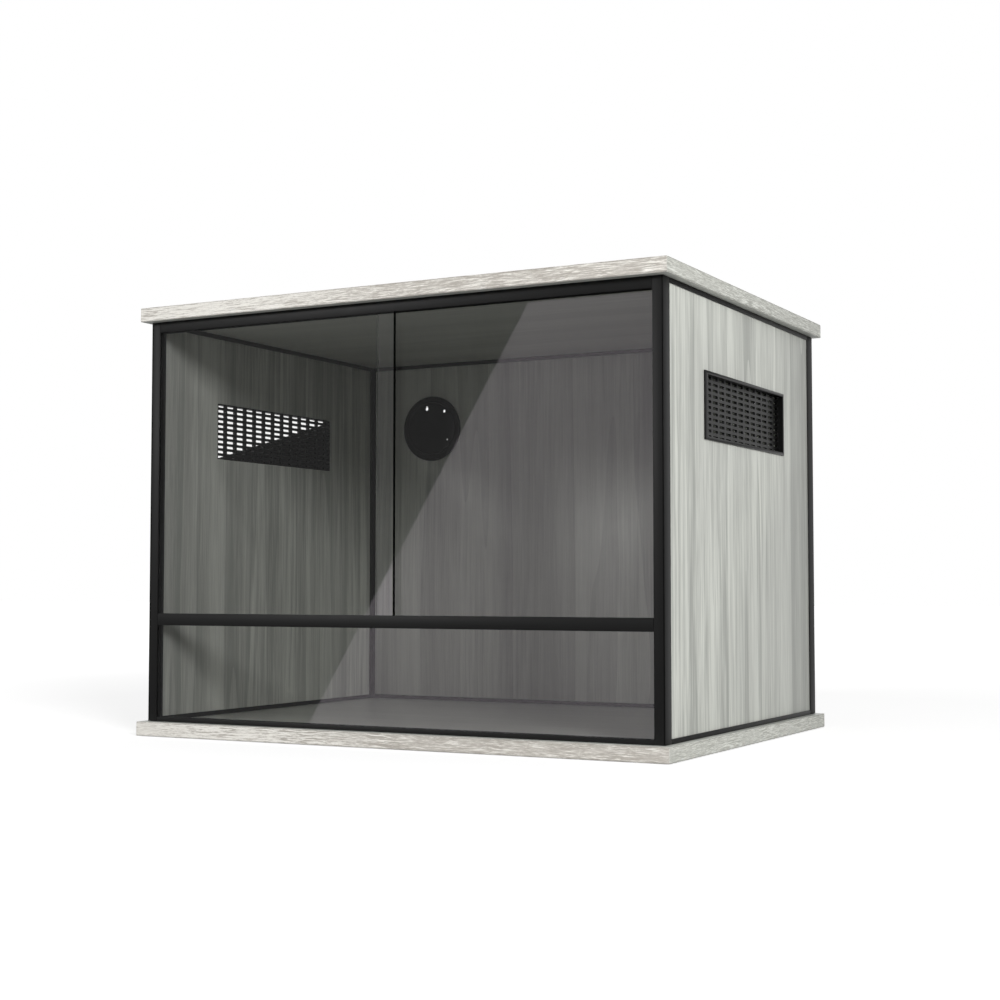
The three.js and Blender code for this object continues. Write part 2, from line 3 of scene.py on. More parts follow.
import bmesh
import bpy
from bpy.props import FloatProperty, FloatVectorProperty, PointerProperty
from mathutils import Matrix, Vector


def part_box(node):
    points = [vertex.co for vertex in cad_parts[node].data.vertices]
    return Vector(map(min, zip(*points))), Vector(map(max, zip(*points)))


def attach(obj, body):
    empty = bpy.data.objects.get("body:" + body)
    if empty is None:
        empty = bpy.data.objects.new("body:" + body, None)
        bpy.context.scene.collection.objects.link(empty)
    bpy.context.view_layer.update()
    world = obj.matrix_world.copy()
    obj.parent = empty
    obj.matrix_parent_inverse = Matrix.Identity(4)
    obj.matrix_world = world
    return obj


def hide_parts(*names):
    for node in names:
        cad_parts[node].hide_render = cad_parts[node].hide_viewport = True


bl_info = {
    "name": "Terrarium Cabinet",
    "version": (1, 0, 0),
    "blender": (4, 5, 0),
    "location": "View3D > Sidebar > Terrarium",
    "description": "Builds a terrarium cabinet with sliding glass doors, and the studio around it",
    "category": "Object",
}

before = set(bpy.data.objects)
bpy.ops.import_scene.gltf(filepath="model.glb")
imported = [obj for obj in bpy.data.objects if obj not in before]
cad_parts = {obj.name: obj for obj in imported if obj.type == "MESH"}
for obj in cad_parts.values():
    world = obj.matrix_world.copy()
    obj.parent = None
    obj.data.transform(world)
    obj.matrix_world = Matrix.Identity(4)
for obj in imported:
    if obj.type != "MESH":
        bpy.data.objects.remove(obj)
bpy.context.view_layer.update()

X, Y, Z = 0, 1, 2
MM = 0.001
SLIVER = 1e-5
FLANGE = 0.9 * MM
CLEARANCE = 0.3 * MM
QUARTER_TURN = pi / 2

# How often the parts of the wood grain repeat in a metre, along X, Y and the grain.
SWAY_RATE = (5, 5, 2)
RING_RATE = (8, 8, 0.3)
BAND_RATE = (22, 22, 0.9)
STREAK_RATE = (170, 170, 5)
CALM_RATE = (9, 9, 3)
THREAD_RATE = (800, 800, 12)
DASH_RATE = (620, 620, 26)
RING_STEPS = 7
# The same for the gloss of coated and moulded pieces.
DRIFT_RATE = (18, 18, 18)
SMEAR_RATE = (60, 60, 9)


# ---- settings


def amount(name, description, default, **unit):
    return FloatProperty(name=name, description=description, default=default, min=0, **unit)


def length(name, description, default):
    return amount(name, description, default, subtype="DISTANCE", unit="LENGTH")


def colour(name, description, *rgb):
    about = {"name": name, "description": description, "default": (*rgb, 1)}
    return FloatVectorProperty(size=4, min=0, max=1, subtype="COLOR", **about)


class CabinetSizes(bpy.types.PropertyGroup):
    """Small sizes that finish the cabinet's pieces."""

    board_edge: length("Board edge", "Radius on the edges of the top and base boards", 0.8 * MM)
    band_groove: length("Band line", "Width of the line beside an edge band", 0.25 * MM)
    frame_edge: length("Frame edge", "Radius on the sharp edges of posts and rails", 0.2 * MM)
    post_corner: length("Post corner", "Radius on the outer corner of each rear post", 3 * MM)
    post_line: length("Post line", "Width of the line beside a front post's corner", 0.9 * MM)
    panel_edge: length("Panel edge", "Radius on the edges of the panels", 0.3 * MM)
    glass_edge: length("Glass edge", "Width of the polished chamfer on the glass", 0.35 * MM)
    slot_corner: length("Slot corner", "Radius in the corners of the vent's slots", 1.0 * MM)
    plastic_edge: length("Plastic edge", "Radius on the edges of the moulded pieces", 0.3 * MM)


class CabinetColours(bpy.types.PropertyGroup):
    """Colours of the cabinet's finishes."""

    grain_light: colour("Grain light", "Lightest tone of the panels' grain", 0.70, 0.715, 0.66)
    grain_dark: colour("Grain dark", "Darkest tone of the panels' grain", 0.40, 0.41, 0.38)
    grain_dash: colour("Grain dashes", "Short dark dashes in the panels' grain", 0.33, 0.33, 0.30)
    band_light: colour("Front band light", "Lightest tone of the front bands", 0.86, 0.84, 0.785)
    band_dark: colour("Front band dark", "Darkest tone of the front bands", 0.43, 0.40, 0.36)
    side_light: colour("Side band light", "Lightest tone of the side bands", 0.82, 0.83, 0.775)
    side_dark: colour("Side band dark", "Darkest tone of the side bands", 0.45, 0.455, 0.41)
    band_dash: colour("Band dashes", "Brown dashes in all the edge bands", 0.30, 0.25, 0.21)
    frame_black: colour("Frame", "Coated frame", 0.006, 0.006, 0.006)
    plastic_black: colour("Plastic", "Vents and cable port", 0.004, 0.004, 0.004)
    glass_clear: colour("Glass", "Body of the glass", 0.99, 0.99, 0.99)


class StudioSettings(bpy.types.PropertyGroup):
    """Light in the studio."""

    key_power: amount("Key", "Power of the lamp on the right", 160, unit="POWER")
    side_power: amount("Side", "Power of the lamp on the left", 62, unit="POWER")
    ambient: amount("Ambient", "Soft light from all round", 0.38)
    front_gloss: amount("Front gloss", "Dim studio that faces the glass", 0.19)
    card: amount("Card", "Strength of the card that the glass mirrors", 0.85)


# ---- modelling


def box_of(node):
    """Lowest and highest corners of a CAD node."""
    lo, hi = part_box(node)
    return Vector(lo), Vector(hi)


def start_block(name, lo, hi):
    """Adds a cube, stretched to fill the box, and leaves it in edit mode."""
    centre = (Vector(lo) + Vector(hi)) / 2
    bpy.ops.mesh.primitive_cube_add(size=1, location=centre, scale=Vector(hi) - Vector(lo))
    return name_and_edit(name)


def start_round(name, centre, radius, depth, sides=96):
    """Adds a disc with its axis along Y, and leaves it in edit mode."""
    bpy.ops.mesh.primitive_cylinder_add(
        vertices=sides, radius=radius, depth=depth, location=centre, rotation=(QUARTER_TURN, 0, 0)
    )
    return name_and_edit(name)


def name_and_edit(name):
    piece = bpy.context.active_object
    piece.name = name
    piece.data.name = name
    bpy.ops.object.transform_apply(location=True, rotation=True, scale=True)
    bpy.ops.object.mode_set(mode="EDIT")
    bpy.ops.mesh.select_mode(type="FACE")
    return piece


def select_elements(kind, wanted):
    """In edit mode, selects the faces or edges for which wanted(element) is true."""
    piece = bpy.context.active_object
    bpy.ops.mesh.select_mode(type=kind)
    bpy.ops.mesh.select_all(action="DESELECT")
    mesh = bmesh.from_edit_mesh(piece.data)
    elements = mesh.faces if kind == "FACE" else mesh.edges
    found = [element for element in elements if wanted(element)]
    for element in found:
        element.select_set(True)
    mesh.select_flush_mode()
    bmesh.update_edit_mesh(piece.data)
    if not found:
        raise RuntimeError(f"{piece.name}: nothing was found to shape")


def select_faces(wanted):
    """Selects the faces for which wanted(centre, normal) is true."""
    select_elements("FACE", lambda face: wanted(face.calc_center_median(), face.normal))


def select_edges(wanted):
    """Selects the edges for which wanted(end, other_end) is true."""
    select_elements("EDGE", lambda edge: wanted(edge.verts[0].co, edge.verts[1].co))


def score(axis, *places):
    """Cuts an edge loop through the whole piece at each place along the axis."""
    normal = [0, 0, 0]
    normal[axis] = 1
    for place in places:
        bpy.ops.mesh.select_all(action="SELECT")
        point = [0, 0, 0]
        point[axis] = place
        bpy.ops.mesh.bisect(plane_co=point, plane_no=normal)


def push(x=0, y=0, z=0):
    """Extrudes the selected faces."""
    bpy.ops.mesh.extrude_region_move(TRANSFORM_OT_translate={"value": (x, y, z)})


def looks(normal, axis, sign):
    return normal[axis] * sign > 0.99


def sink_groove(across, start, end, face, sign, depth):
    """Sinks the strip from start to end of the side that looks along an axis."""
    score(across, start, end)
    select_faces(lambda centre, normal: looks(normal, face, sign) and start < centre[across] < end)
    push(**{"xyz"[face]: -sign * depth})


def cut_window(y0, y1, z0, z1):
    """Cuts a rectangular opening through a slab that stands across X."""
    score(Y, y0, y1)
    score(Z, z0, z1)
    select_faces(
        lambda centre, normal: abs(normal.x) > 0.99 and y0 < centre.y < y1 and z0 < centre.z < z1
    )
    bpy.ops.mesh.bridge_edge_loops()


def round_corner(wanted, radius, segments=6):
    select_edges(wanted)
    bpy.ops.mesh.bevel(offset=radius, segments=segments, affect="EDGES")


def leave_edit(clean=True):
    """Joins faces that lie flat together, checks the normals and leaves edit mode."""
    bpy.ops.mesh.select_all(action="SELECT")
    bpy.ops.mesh.remove_doubles(threshold=SLIVER)
    if clean:
        bpy.ops.mesh.dissolve_limited(angle_limit=radians(0.5))
    bpy.ops.mesh.select_all(action="SELECT")
    bpy.ops.mesh.normals_make_consistent(inside=False)
    bpy.ops.object.mode_set(mode="OBJECT")


def soften(piece, width, segments=2, limit=35):
    """Rounds the sharp edges, and smooths the shading across them."""
    bpy.context.view_layer.objects.active = piece
    bevel = piece.modifiers.new("Softened edges", "BEVEL")
    bevel.width = width
    bevel.segments = segments
    bevel.limit_method = "ANGLE"
    bevel.angle_limit = radians(limit)
    bpy.ops.object.modifier_apply(modifier=bevel.name)
    smooth(piece)


def smooth(piece, angle=32):
    bpy.ops.object.select_all(action="DESELECT")
    piece.select_set(True)
    bpy.context.view_layer.objects.active = piece
    bpy.ops.object.shade_smooth_by_angle(angle=radians(angle))


def boolean_cut(piece, cutter):
    """Takes the shape being edited out of the piece, and removes that shape."""
    leave_edit(clean=False)
    bpy.context.view_layer.objects.active = piece
    step = piece.modifiers.new("Cut", "BOOLEAN")
    step.operation = "DIFFERENCE"
    step.solver = "EXACT"
    step.object = cutter
    bpy.ops.object.modifier_apply(modifier=step.name)
    bpy.data.objects.remove(cutter)


def join(name, *pieces):
    bpy.ops.object.select_all(action="DESELECT")
    for piece in pieces:
        piece.select_set(True)
    bpy.context.view_layer.objects.active = pieces[0]
    bpy.ops.object.join()
    pieces[0].name = name
    pieces[0].data.name = name
    return pieces[0]


def copy_moved(piece, name, move, turned_over):
    """A copy with its own mesh, turned over about its own X axis if asked, and moved."""
    twin = piece.copy()
    twin.data = piece.data.copy()
    twin.name = name
    twin.data.name = name
    bpy.context.scene.collection.objects.link(twin)
    flip = -1 if turned_over else 1
    for vertex in twin.data.vertices:
        x, y, z = vertex.co
        vertex.co = Vector((x, flip * y, flip * z)) + Vector(move)
    return twin


def finish_piece(piece, node, finishes, body="cabinet"):
    """Gives a piece its finishes and its body, and hides the CAD node that it stands for."""
    piece.data.materials.clear()
    for finish in finishes:
        piece.data.materials.append(bpy.data.materials[finish])
    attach(piece, body)
    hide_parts(node)


def finish_shape(piece, node, edge, slot, *finishes, body="cabinet", **softening):
    """Leaves edit mode, softens the edges and finishes the piece."""
    leave_edit()
    soften(piece, edge, **softening)
    finish_piece(piece, node, finishes, body)


def finish_profile(piece, node):
    """Ends the shaping of a post or rail, and coats it."""
    edge = bpy.context.scene.cabinet_sizes.frame_edge
    finish_shape(piece, node, edge, "black_frame", "satin_black_coat")


def paint_faces(piece, index, wanted):
    for face in piece.data.polygons:
        if wanted(face.center, face.normal):
            face.material_index = index


# ---- node helpers


def new_group(name, inputs, outputs):
    """An empty shader group with named sockets: its wiring, its inputs and its outputs."""
    group = bpy.data.node_groups.new(name, "ShaderNodeTree")
    group.interface.new_socket("Vector", in_out="INPUT", socket_type="NodeSocketVector")
    for label, default in inputs.items():
        kind = "NodeSocketFloat" if isinstance(default, float) else "NodeSocketColor"
        socket = group.interface.new_socket(label, in_out="INPUT", socket_type=kind)
        socket.default_value = default
    for label in outputs:
        kind = "NodeSocketColor" if label == "Color" else "NodeSocketFloat"
        group.interface.new_socket(label, in_out="OUTPUT", socket_type=kind)
    given, result = (group.nodes.new("NodeGroup" + end) for end in ("Input", "Output"))
    return Wiring(group), given.outputs, result.inputs


class Wiring:
    """Short ways to add and link nodes in one tree."""

    def __init__(self, tree):
        self.tree = tree

    def add(self, kind, **settings):
        node = self.tree.nodes.new("ShaderNode" + kind)
        for name, value in settings.items():
            setattr(node, name, value)
        return node

    def put(self, socket, value):
        if isinstance(value, bpy.types.NodeSocket):
            self.tree.links.new(value, socket)
        elif value is not None:
            socket.default_value = value

    def math(self, operation, a, b=None, c=None, clamp=False):
        node = self.add("Math", operation=operation, use_clamp=clamp)
        for socket, value in zip(node.inputs, (a, b, c)):
            self.put(socket, value)
        return node.outputs[0]

    def vector_math(self, operation, a, b):
        node = self.add("VectorMath", operation=operation)
        self.put(node.inputs[0], a)
        self.put(node.inputs[1], b)
        return node.outputs[0]

    def noise(self, vector, rate, detail=2.0, roughness=0.5):
        """Noise that repeats at its own rate along each axis. Returns the node."""
        node = self.add("TexNoise")
        self.put(node.inputs["Vector"], self.vector_math("MULTIPLY", vector, rate))
        node.inputs["Scale"].default_value = 1.0
        node.inputs["Detail"].default_value = detail
        node.inputs["Roughness"].default_value = roughness
        return node

    def mix(self, factor, a, b, blend="MIX"):
        node = self.add("Mix", data_type="RGBA", blend_type=blend)
        self.put(node.inputs["Factor"], factor)
        self.put(node.inputs[6], a)
        self.put(node.inputs[7], b)
        return node.outputs[2]

    def remap(self, value, low, high, to_low=0.0, to_high=1.0):
        node = self.add("MapRange", clamp=True)
        for socket, item in zip(node.inputs, (value, low, high, to_low, to_high)):
            self.put(socket, item)
        return node.outputs[0]

    def is_none(self, count):
        """1 where a whole number is 0."""
        return self.math("LESS_THAN", count, 0.5)

    def is_some(self, count):
        return self.math("GREATER_THAN", count, 0.5)

    def surface(self, shader):
        self.put(self.tree.nodes["Material Output"].inputs["Surface"], shader)


# ---- shared effects


def build_wood_grain():
    """Printed wood grain that runs along Z: sharp-edged rings, bands, streaks and dashes."""
    w, given, result = new_group(
        "wood_grain",
        {
            "Light": (0.6, 0.6, 0.6, 1),
            "Dark": (0.3, 0.3, 0.3, 1),
            "Dash": (0.3, 0.3, 0.3, 1),
            "Rings": 0.3,
            "Bands": 0.5,
            "Streaks": 0.5,
            "Dashes": 0.5,
            "Lift": 0.0,
        },
        ("Color", "Height"),
    )
    place = given["Vector"]
    rings, bands, streaks = (given[name] for name in ("Rings", "Bands", "Streaks"))

    def about_zero(value, share):
        return w.math("MULTIPLY", w.math("SUBTRACT", value, 0.5), share)

    sway = w.noise(place, SWAY_RATE)
    aside = w.vector_math("MULTIPLY", sway.outputs["Color"], (0.014, 0.014, 0))
    swayed = w.vector_math("ADD", place, aside)
    ring = w.noise(swayed, RING_RATE).outputs[0]
    ring = w.math("FRACT", w.math("MULTIPLY", ring, RING_STEPS))
    ring = about_zero(ring, rings)
    band = about_zero(w.noise(swayed, BAND_RATE, detail=4, roughness=0.55).outputs[0], bands)
    streak = about_zero(w.noise(swayed, STREAK_RATE, detail=4, roughness=0.65).outputs[0], streaks)
    calm = w.noise(place, CALM_RATE, detail=1).outputs[0]
    streak = w.math("MULTIPLY", streak, w.remap(calm, 0.4, 0.65, 0.3, 1.7))
    thread = w.noise(swayed, THREAD_RATE, roughness=0.6).outputs[0]
    thread = w.math("SUBTRACT", thread, 0.5)
    dash = w.remap(w.noise(swayed, DASH_RATE).outputs[0], 0.56, 0.68)
    sunk = w.math("MULTIPLY", dash, given["Dashes"])

    tone = w.math("ADD", w.math("ADD", ring, band), streak)
    tone = w.math("ADD", tone, w.math("MULTIPLY", thread, w.math("MULTIPLY", streaks, 0.7)))
    # The lift shifts the whole tone; the front bands use it for painted light and shade along X.
    tone = w.math("ADD", tone, w.math("ADD", given["Lift"], 0.5), clamp=True)
    printed = w.mix(tone, given["Dark"], given["Light"])
    w.put(result["Color"], w.mix(sunk, printed, given["Dash"]))
    height = w.math("MULTIPLY_ADD", thread, 0.6, 0.5)
    w.put(result["Height"], w.math("SUBTRACT", height, w.math("MULTIPLY", sunk, 0.5)))


def build_fine_texture():
    """Fine moulded or coated texture, with a slow drift in gloss."""
    w, given, result = new_group(
        "fine_texture",
        {"Colour": (0.02, 0.02, 0.02, 1), "Roughness": 0.4, "Drift": 0.1, "Grain": 2500.0},
        ("Color", "Roughness", "Height"),
    )
    place = given["Vector"]
    drift = w.noise(place, DRIFT_RATE, detail=3)
    smear = w.noise(place, SMEAR_RATE)
    both = w.math("ADD", drift.outputs[0], smear.outputs[0])
    off = w.math("MULTIPLY", w.math("SUBTRACT", both, 1.0), given["Drift"])
    w.put(result["Roughness"], w.math("ADD", given["Roughness"], off, clamp=True))
    grain = w.add("TexNoise")
    w.put(grain.inputs["Vector"], place)
    w.put(grain.inputs["Scale"], given["Grain"])
    grain.inputs["Detail"].default_value = 1
    w.put(result["Height"], grain.outputs[0])
    shade = w.math("MULTIPLY_ADD", grain.outputs[0], 0.35, 0.83)
    w.put(result["Color"], w.mix(1, given["Colour"], shade, blend="MULTIPLY"))


# ---- materials


def new_material(name, **plain):
    """A material with one Principled shader, whose plain values are set on its own sockets."""
    material = bpy.data.materials.new(name)
    material.use_nodes = True
    shader = material.node_tree.nodes["Principled BSDF"]
    for label, value in plain.items():
        shader.inputs[label.replace("_", " ")].default_value = value
    return material, shader, Wiring(material.node_tree)


def object_place(w, turn=(0, 0, 0), offset=(0, 0, 0), size=(1, 1, 1)):
    """The piece's own coordinates, turned so that a pattern runs the right way."""
    source = w.add("TexCoord")
    mapping = w.add("Mapping", vector_type="TEXTURE")
    mapping.inputs["Rotation"].default_value = turn
    mapping.inputs["Location"].default_value = offset
    mapping.inputs["Scale"].default_value = size
    w.put(mapping.inputs["Vector"], source.outputs["Object"])
    return mapping.outputs[0]


def use_group(w, name, **values):
    node = w.add("Group", node_tree=bpy.data.node_groups[name])
    for label, value in values.items():
        w.put(node.inputs[label], value)
    return node


def add_bump(w, shader, height, strength, distance):
    bump = w.add("Bump")
    bump.inputs["Strength"].default_value = strength
    bump.inputs["Distance"].default_value = distance
    w.put(bump.inputs["Height"], height)
    w.put(shader.inputs["Normal"], bump.outputs[0])


def laminate(
    name, tones, turn=(0, 0, 0), offset=(0, 0, 0), size=(1, 1, 1), rough=0.45, drift=None, **grain
):
    """Wood-grain laminate, its grain along Z unless turned.

    The tones are light, dark and dash. Drift paints light and shade into the tone along X:
    it says where along X the lift starts and ends to change, and from what to what.
    """
    _, shader, w = new_material(name, Specular_IOR_Level=0.35)
    place = object_place(w, turn, offset, size)
    light, dark, dash = tones
    wood = use_group(w, "wood_grain", Vector=place, Light=light, Dark=dark, Dash=dash, **grain)
    # Painted light and shade: the tone is lifted at one end along X and lowered at the other.
    if drift:
        split = w.add("SeparateXYZ")
        w.put(split.inputs[0], w.add("TexCoord").outputs["Object"])
        w.put(wood.inputs["Lift"], w.remap(split.outputs[0], *drift))
    height = wood.outputs["Height"]
    w.put(shader.inputs["Base Color"], wood.outputs["Color"])
    w.put(shader.inputs["Roughness"], w.math("MULTIPLY_ADD", height, -0.12, rough + 0.06))
    add_bump(w, shader, height, 0.25, 0.00006)


def coated(name, tone, rough, drift, grain, bump=0.0, distance=0.0, **plain):
    """Black coating, moulded plastic or plated steel."""
    _, shader, w = new_material(name, **plain)
    place = object_place(w)
    texture = use_group(
        w, "fine_texture", Vector=place, Colour=tone, Roughness=rough, Drift=drift, Grain=grain
    )
    w.put(shader.inputs["Base Color"], texture.outputs["Color"])
    w.put(shader.inputs["Roughness"], texture.outputs["Roughness"])
    if bump:
        add_bump(w, shader, texture.outputs["Height"], bump, distance)


def clear_glass(tint):
    """Clear glass that lets part of the lamps' light through to what it shuts in."""
    _, shader, w = new_material(
        "clear_float_glass",
        Base_Color=tint,
        Transmission_Weight=1.0,
        Roughness=0.0,
        IOR=1.5,
        Metallic=0.0,
    )
    rays = w.add("LightPath").outputs
    dimmed = w.add("BsdfTransparent")
    dimmed.inputs["Color"].default_value = (0.58, 0.58, 0.58, 1)
    surface = shader.outputs[0]
    for kind in ("Is Shadow Ray", "Is Diffuse Ray"):
        surface = blend_shaders(w, rays[kind], surface, dimmed.outputs[0])
    w.surface(surface)


def blend_shaders(w, factor, first, second):
    blend = w.add("MixShader")
    for socket, value in zip(blend.inputs, (factor, first, second)):
        w.put(socket, value)
    return blend.outputs[0]


def build_materials(context):
    """Every finish, made once and kept by name."""
    colours = context.scene.cabinet_colours
    build_wood_grain()
    build_fine_texture()
    along_x, along_y = (0, QUARTER_TURN, 0), (QUARTER_TURN, 0, 0)
    flat = {"turn": along_x, "Rings": 0.1, "Dashes": 0.05, "Streaks": 0.5}
    band = {"size": (0.19, 0.19, 0.1), "rough": 0.55, "Rings": 0.05, "Bands": 0.5, "Dashes": 0.3}
    # Painted light and shade on the front bands: lighter towards the left end, darker towards the
    # right.
    front_painted_light = (-0.16, 0.02, 0.42, -0.26)
    grain = colours.grain_light, colours.grain_dark, colours.grain_dash
    front = colours.band_light, colours.band_dark, colours.band_dash
    side = colours.side_light, colours.side_dark, colours.band_dash
    laminate("panel_grain", grain, Rings=0.5, Bands=2.2, Streaks=2.0, Dashes=0.12)
    board = {"Rings": 0.25, "Bands": 1.2, "Streaks": 1.4, "Dashes": 0.1}
    laminate("board_grain", grain, along_x, (0.3, 0.1, 0), rough=0.68, **board)
    laminate("ceiling_grain", grain, rough=0.5, Bands=0.6, **flat)
    back = {"Rings": 0.4, "Bands": 1.9, "Streaks": 1.2, "Dashes": 0.1}
    laminate("back_grain", grain, offset=(0.16, 0, 0), **back)
    laminate("floor_grain", grain, rough=0.3, Bands=0.4, **flat)
    laminate("front_band_grain", front, along_x, drift=front_painted_light, Streaks=5.6, **band)
    laminate("side_band_grain", side, along_y, Streaks=4.6, Lift=-0.1, **band)
    # Name, tone, roughness and its drift, grain, bump and its depth, specular level.
    finishes = (
        ("band_line", (0.2, 0.19, 0.18, 1), 0.7, 0.1, 1500.0, 0.2, 0.00005, 0.5),
        ("satin_black_coat", colours.frame_black, 0.52, 0.06, 2600.0, 0.18, 0.00004, 0.31),
        ("moulded_black", colours.plastic_black, 0.36, 0.08, 1700.0, 0.35, 0.00008, 0.22),
        ("glide_black", (0.008, 0.008, 0.008, 1), 0.32, 0.08, 900.0, 0.1, 0.00003, 0.5),
        # The glass edges are painted near-black: painted shade for the dark that light leaves in
        # the edge of a pane.
        ("painted_dark_glass_edge", (0.0006, 0.0008, 0.0007, 1), 0.4, 0.05, 900.0, 0.05, 0.00002, 0.02),
    )
    for *values, specular in finishes:
        coated(*values, Specular_IOR_Level=specular)
    clear_glass(colours.glass_clear)
    coated("zinc_plate", (0.56, 0.56, 0.57, 1), 0.28, 0.15, 4000.0, Metallic=1.0)


# ---- boards


class TERRARIUM_OT_boards(bpy.types.Operator):
    """Top and base boards, with edge bands all round"""

    bl_idname = "terrarium.boards"
    bl_label = "Boards"

    def execute(self, context):
        sizes = context.scene.cabinet_sizes
        for node in ("base_board", "top_board"):
            lo, hi = box_of(node)
            piece = start_block(node + "_laminated", lo, hi)
            leave_edit(clean=False)
            soften(piece, sizes.board_edge, segments=3)
            bpy.ops.object.mode_set(mode="EDIT")
            half = sizes.band_groove / 2
            groove_heights = (lo.z + sizes.board_edge, hi.z - sizes.board_edge)
            for z in groove_heights:
                score(Z, z - half, z + half)
                select_faces(
                    lambda centre, normal: abs(centre.z - z) < half and abs(normal.z) < 0.3
                )
                sink = {"value": -half}
                bpy.ops.mesh.extrude_region_shrink_fatten(TRANSFORM_OT_shrink_fatten=sink)
            bpy.ops.object.mode_set(mode="OBJECT")
            smooth(piece)
            inward = 1 if node == "base_board" else -1
            inner = "floor_grain" if node == "base_board" else "ceiling_grain"
            finishes = ("board_grain", "front_band_grain", "side_band_grain", "band_line", inner)
            finish_piece(piece, node, finishes)
            paint_faces(piece, 1, lambda centre, normal: abs(normal.y) > 0.5)
            paint_faces(piece, 2, lambda centre, normal: abs(normal.x) > 0.5)
            paint_faces(piece, 4, lambda centre, normal: normal.z * inward > 0.9)
            rim = sizes.band_groove * 0.75
            for z in groove_heights:
                paint_faces(
                    piece,
                    3,
                    lambda centre, normal: abs(centre.z - z) < rim
                    and max(abs(centre.x) - hi.x, abs(centre.y) - hi.y) < -SLIVER
                    and abs(normal.z) < 0.95,
                )
        return {"FINISHED"}


# ---- posts and rails


def tracks():
    """Front and back of both glass tracks, from the CAD pieces that fill them."""
    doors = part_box("left_door_glass"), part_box("right_door_glass")
    return [(lo[Y] - CLEARANCE, hi[Y] + CLEARANCE) for lo, hi in doors]


class TERRARIUM_OT_posts(bpy.types.Operator):
    """Four corner posts, extruded, with tracks or flanges for glass and panels"""

    bl_idname = "terrarium.posts"
    bl_label = "Corner posts"

    def execute(self, context):
        sizes = context.scene.cabinet_sizes
        wall = 2 * MM
        lip = 1 * MM
        corner = 0.6 * MM
        line_depth = 1.2 * MM
        for side, word in ((-1, "left"), (1, "right")):
            node = f"front_{word}_post"
            lo, hi = box_of(node)
            outer = max(abs(lo.x), abs(hi.x))
            rear = tracks()[1][1] + lip
            piece = start_block(node + "_profile", lo, (hi.x, rear, hi.z))
            for start, end in tracks():
                depth = outer - wall - min(abs(lo.x), abs(hi.x))
                sink_groove(Y, start, end, X, -side, depth)
            score(X, side * (outer - FLANGE))
            select_faces(
                lambda centre, normal: looks(normal, Y, 1)
                and abs(centre.x) > outer - FLANGE
                and centre.y > rear - SLIVER
            )
            push(y=hi.y - rear)
            line = sorted((side * (outer - corner), side * (outer - corner - sizes.post_line)))
            score(X, *line)
            select_faces(
                lambda centre, normal: looks(normal, Y, -1)
                and centre.y < lo.y + SLIVER
                and line[0] < centre.x < line[1]
            )
            push(y=line_depth)
            finish_profile(piece, node)
            self.rear_post(sizes, side, word)
        return {"FINISHED"}

    def rear_post(self, sizes, side, word):
        node = f"rear_{word}_post"
        lo, hi = box_of(node)
        channel_lo, channel_hi = box_of(f"{word}_base_rail")
        outer = max(abs(lo.x), abs(hi.x))
        inner = min(abs(channel_lo.x), abs(channel_hi.x))
        core_front = box_of("rear_base_rail")[0].y
        core_x = sorted((side * inner, side * outer))
        core = (core_x[0], core_front, lo.z), (core_x[1], hi.y, hi.z)
        piece = start_block(node + "_profile", *core)
        score(X, side * (inner + FLANGE), side * (outer - FLANGE))
        select_faces(
            lambda centre, normal: looks(normal, Y, -1)
            and (abs(centre.x) < inner + FLANGE or abs(centre.x) > outer - FLANGE)
        )
        push(y=lo.y - core_front)
        score(Y, core_front + FLANGE, hi.y - FLANGE)
        select_faces(
            lambda centre, normal: looks(normal, X, -side)
            and abs(abs(centre.x) - inner) < SLIVER
            and (core_front < centre.y < core_front + FLANGE or centre.y > hi.y - FLANGE)
        )
        push(x=-side * (inner - min(abs(lo.x), abs(hi.x))))

        def on_corner(point):
            return abs(point.x - side * outer) < SLIVER and abs(point.y - hi.y) < SLIVER

        round_corner(lambda a, b: on_corner(a) and on_corner(b), sizes.post_corner)
        finish_profile(piece, node)


class TERRARIUM_OT_front_rails(bpy.types.Operator):
    """Three front rails with two glass tracks each"""

    bl_idname = "terrarium.front_rails"
    bl_label = "Front rails"

    def execute(self, context):
        tray_webs = {"front_base_rail": (1, 1.2 * MM), "front_top_rail": (-1, 1.5 * MM)}
        mid_web = 2.5 * MM
        for node in ("front_base_rail", "front_mid_rail", "front_top_rail"):
            lo, hi = box_of(node)
            piece = start_block(node + "_profile", lo, hi)
            if node in tray_webs:
                sign, web = tray_webs[node]
                openings = [(sign, hi.z - lo.z - web)]
            else:
                openings = [(sign, (hi.z - lo.z - mid_web) / 2) for sign in (1, -1)]
            for start, end in tracks():
                for sign, depth in openings:
                    sink_groove(Y, start, end, Z, sign, depth)
            finish_profile(piece, node)
        return {"FINISHED"}


class TERRARIUM_OT_panel_rails(bpy.types.Operator):
    """Channel rails that hold the panels' top and bottom edges"""

    bl_idname = "terrarium.panel_rails"
    bl_label = "Panel rails"

    def execute(self, context):
        web = 1.2 * MM
        for level, sign in (("base", 1), ("top", -1)):
            for word in ("left", "right", "rear"):
                node = f"{word}_{level}_rail"
                lo, hi = box_of(node)
                piece = start_block(node + "_channel", lo, hi)
                across = Y if word == "rear" else X
                depth = hi.z - lo.z - web
                sink_groove(across, lo[across] + FLANGE, hi[across] - FLANGE, Z, sign, depth)
                finish_profile(piece, node)
        return {"FINISHED"}


# ---- panels


def vent_cut_out(word):
    """Front, rear, bottom and top of the cut-out behind a vent's flange."""
    lap = 2 * MM
    tab = 5 * MM
    lo, hi = box_of(f"{word}_vent_grille")
    front = lo.y + lap + (tab if word == "right" else 0)
    rear = hi.y - lap - (tab if word == "left" else 0)
    return front, rear, lo.z + lap, hi.z - lap


